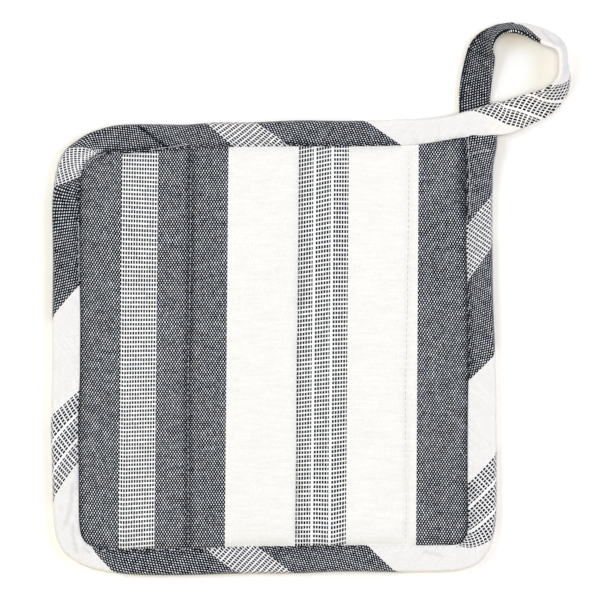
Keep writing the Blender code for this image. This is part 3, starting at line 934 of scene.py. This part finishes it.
def strip_relief(stations, rings):
    """How far creases and puckers lift the rings' front, its painted shade and light, and the
    painted shade that shrinks its white dots.
    """
    around = rings.shape[1]
    share = on_both_sides(FACE_SHARES, around)
    lift, shade = creased(rings[:, :, :2])
    lift += puckers(stations["along"], share[None])
    lift = np.maximum(lift, LOWEST) * smooth(share / 0.12) * smooth((1.0 - share) / 0.05)
    shade = np.clip(shade * (share > 0.0), -DEEPEST, DEEPEST)

    # Shrunken white dots: painted shade in creases and at the topstitching, and darker dots on
    # the loop's way back. Painted light on the fold and on the loop's bend
    to_end = stations["along"] - stations["along"][-1]
    way_back = smooth((to_end - LOOP_BACK) / 12.0)[:, None]
    dot_shade = shade + bell(share - 0.93, 0.07) + 0.4 * way_back
    lit_bend = np.interp(to_end, LIT_LOOP_BEND, (0.0, 1.0, 1.0, 0.0))[:, None]
    fold = on_both_sides(bell(np.array(FACE_SHARES + (0.0,) * len(FOLD_ANGLES)), 0.11), around)
    shade = np.maximum(shade, 0.0) - np.maximum(lit_bend, fold)
    return lift, np.column_stack([shade.ravel(), dot_shade.ravel()])


def strip_faces(count, around):
    """Quads that join the rings, and those that close both ends of the strip."""
    front = np.arange(around // 2)
    start = np.stack([front, around - 1 - front])
    end = grid_faces(start + (count - 1) * around)
    return np.vstack([tube_faces(count, around), grid_faces(start, flip=True), end])


def make_strip(material):
    """One bias strip, its edges turned in, folded over the pad and on into the loop."""
    stations = strip_stations()
    rings, layers = strip_rings(stations)
    lift, layers["shade"] = strip_relief(stations, rings)
    rings += stations["deep"][:, None] * lift[:, :, None]
    faces = strip_faces(*rings.shape[:2])
    body = new_cloth("bias_strip", rings.reshape(-1, 3), faces, layers, material)
    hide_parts("edge_binding", "hanging_loop")
    return body


# Stitches

# Each set's side of the cloth (1 the front, -1 the back), distance from one stitch to
# the next, length, how far its thread's middle lies above the cloth, and its radius
STITCHES = {
    "stitches_proud": (1, 2.75, 2.6, 0.08, 0.18),
    "stitches_edge": (1, 3.0, 2.1, -0.10, 0.17),
    "stitches_edge_back": (-1, 3.0, 2.4, -0.06, 0.17),
    "stitches_seams": (1, 2.6, 2.0, 0.0, 0.17),
    "stitches_seams_back": (-1, 2.6, 2.2, -0.04, 0.18),
}
# Along a stitch: share of its length, girth, and how far it dips, both in radii
STITCH_ROWS = ((0.0, 0.4, 1.0), (0.12, 0.85, 0.45), (0.5, 1.0, 0.0), (0.88, 0.85, 0.45),
               (1.0, 0.4, 1.0))
STITCH_SIDES = 6
THREAD = (0.60, 0.62, 0.67)
BESIDE_EDGE = 0.8     # from the binding's inner edge to its topstitching
SEAM_ENDS = (-89.0, 89.5)


def stitch_places(line, pitch, length):
    """Starts and ends of the stitches along a line of points in the plane."""
    line = np.array(line)
    along = lengths(line)
    count = max(int(round(along[-1] / pitch)), 1)
    starts = (np.arange(count) + 0.5) * along[-1] / count - 0.5 * length
    return points_at(np.stack([starts, starts + length], -1), along, line)


def surface_height(spot, trees, side):
    """Height of the front (side 1) or the back (side -1) of the cloth at one spot."""
    above, down = Vector((*spot, 60.0 * side)), Vector((0.0, 0.0, -side))
    hits = [tree.ray_cast(above, down)[0] for tree in trees]
    return max((hit.z for hit in hits if hit is not None), key=lambda z: side * z, default=None)


def add_stitch(verts, faces, start, end, trees, side, proud, thick):
    """One stitch: a short round thread that dips into the cloth at both ends."""
    along = unit(end - start)
    aside = np.array((-along[1], along[0]))
    spots = [start + (end - start) * share for share, _, _ in STITCH_ROWS]
    heights = [surface_height(spot, trees, side) for spot in spots]
    if None in heights:
        return
    first = len(verts)
    for spot, height, (_, girth, dip) in zip(spots, heights, STITCH_ROWS):
        middle = height + side * (proud - dip * thick)
        for turn in range(STITCH_SIDES):
            angle = 2.0 * math.pi * turn / STITCH_SIDES
            flat = spot + aside * math.cos(angle) * girth * thick
            verts.append((*flat, middle + math.sin(angle) * girth * thick))
    last = len(verts) - STITCH_SIDES
    faces += (tube_faces(len(STITCH_ROWS), STITCH_SIDES) + first).tolist()
    faces.append(range(first + STITCH_SIDES - 1, first - 1, -1))
    faces.append(range(last, last + STITCH_SIDES))


def surface_tree(body):
    """A piece's faces, ready for finding its height."""
    points = [vert.co / MM for vert in body.data.vertices]
    return BVHTree.FromPolygons(points, [tuple(face.vertices) for face in body.data.polygons])


def make_stitches(name, lines, trees, material):
    """One set of stitches along its lines."""
    side, pitch, length, proud, thick = STITCHES[name]
    verts, faces = [], []
    for line in lines:
        for start, end in stitch_places(line, pitch, length):
            add_stitch(verts, faces, start, end, trees, side, proud, thick)
    new_piece(name, np.array(verts), faces, material)


def topstitch_line():
    """The line of stitches just outside the binding's inner edge."""
    fold, edge = binding_lines()
    return spline(edge + unit(fold - edge) * BESIDE_EDGE, 6)


def seam_lines():
    """The three quilting seams, from the binding's lower edge to its upper one."""
    heights = np.linspace(*SEAM_ENDS, 30)
    return [np.column_stack([x + seam_lean(heights), heights]) for x in SEAMS]


def sew(pad, strip):
    """Topstitching and quilting, on the front and on the back."""
    trees = [surface_tree(pad), surface_tree(strip)]
    thread = cotton_thread("cotton_thread", THREAD)
    edge, seams = [topstitch_line()], seam_lines()
    for name, lines in zip(STITCHES, (PROUD_STITCHES, edge, edge, seams, seams)):
        make_stitches(name, lines, trees, thread)


# Stage, in metres

FLOOR_HALF = 3.0
FLOOR_WHITE = (0.915, 0.915, 0.907)
SKY = (0.87, 0.915, 1.0)
SKY_LOW = 0.62        # strength of the sky's light at the horizon
SKY_HIGH = 0.26       # and overhead
# Each light's place, size, power and colour. They all face the part.
LIGHTS = {
    "overhead": ((0.0, 0.0, 3.4), 1.4, 62.0, (1.0, 0.85, 0.56)),
    "right": ((1.5, 0.3, 1.5), 0.9, 16.0, (0.53, 0.65, 1.0)),
    "left": ((-1.3, 0.45, 1.8), 0.9, 16.5, (0.72, 0.85, 1.0)),
}
CAMERA_HEIGHT = 2.5
CLOTH_HEIGHT = 0.004  # the height at which the picture's width is measured
PICTURE_WIDTH = 0.27096
PICTURE_CENTRE = (0.01174, 0.02145)
SENSOR = 36.0


def make_stage():
    """The plain pale floor."""
    mesh = bpy.data.meshes.new("floor")
    corners = [(x * FLOOR_HALF, y * FLOOR_HALF, 0.0)
               for x, y in ((-1, -1), (1, -1), (1, 1), (-1, 1))]
    mesh.from_pydata(corners, [], [(0, 1, 2, 3)])
    material, _ = new_material("floor_white", Base_Color=(*FLOOR_WHITE, 1.0), Roughness=0.9,
                               Specular_IOR_Level=0.2)
    mesh.materials.append(material)
    floor = add_object("floor", mesh)


def make_sky():
    """A soft even light from all around, stronger from low down."""
    world = bpy.data.worlds.new("studio")
    bpy.context.scene.world = world
    world.use_nodes = True
    tree = world.node_tree
    direction = new_node(tree, "TexCoord").outputs["Generated"]
    split = new_node(tree, "SeparateXYZ", Vector=direction)
    climb = new_node(tree, "MapRange", Value=split.outputs["Z"], To_Min=SKY_LOW, To_Max=SKY_HIGH)
    fill(tree.nodes["Background"], Color=(*SKY, 1.0), Strength=climb.outputs["Result"])


def make_lights():
    """Round studio lights: one overhead and one on each side."""
    for name, (place, size, power, colour) in LIGHTS.items():
        light = bpy.data.lights.new(name, "AREA")
        light.shape = "DISK"
        light.size = size
        light.energy = power
        light.color = colour
        body = add_object(name, light)
        body.location = place
        aim = Vector() - Vector(place)
        body.rotation_euler = aim.to_track_quat("-Z", "Y").to_euler()


def make_camera():
    """The photograph's view, from straight above."""
    camera = bpy.data.cameras.new("camera")
    camera.sensor_width = SENSOR
    camera.lens = SENSOR * (CAMERA_HEIGHT - CLOTH_HEIGHT) / PICTURE_WIDTH
    camera.clip_end = 20.0
    body = add_object("camera", camera)
    body.location = (*PICTURE_CENTRE, CAMERA_HEIGHT)
    bpy.context.scene.camera = body


# Yarn colours, each from the darker to the paler threads. The strip's white is a little darker
# than the panel's: painted shade on the same white yarn
dark = ((0.003, 0.004, 0.008), (0.020, 0.024, 0.034))
panel_white = ((0.815, 0.806, 0.778), (0.905, 0.897, 0.865))
strip_white = ((0.784, 0.77, 0.762), (0.87, 0.856, 0.845))
front = striped_cotton("striped_cotton_front", panel_white, dark, (0.31, 0.33, 0.33), 0.5)
bias = striped_cotton("striped_cotton_bias", strip_white, dark, (0.30, 0.315, 0.30), 0.6, True)
pad = make_pad(front)
strip = make_strip(bias)
sew(pad, strip)
make_stage()
make_sky()
make_lights()
make_camera()
view = bpy.context.scene.view_settings
view.view_transform = "Standard"
view.look = "None"
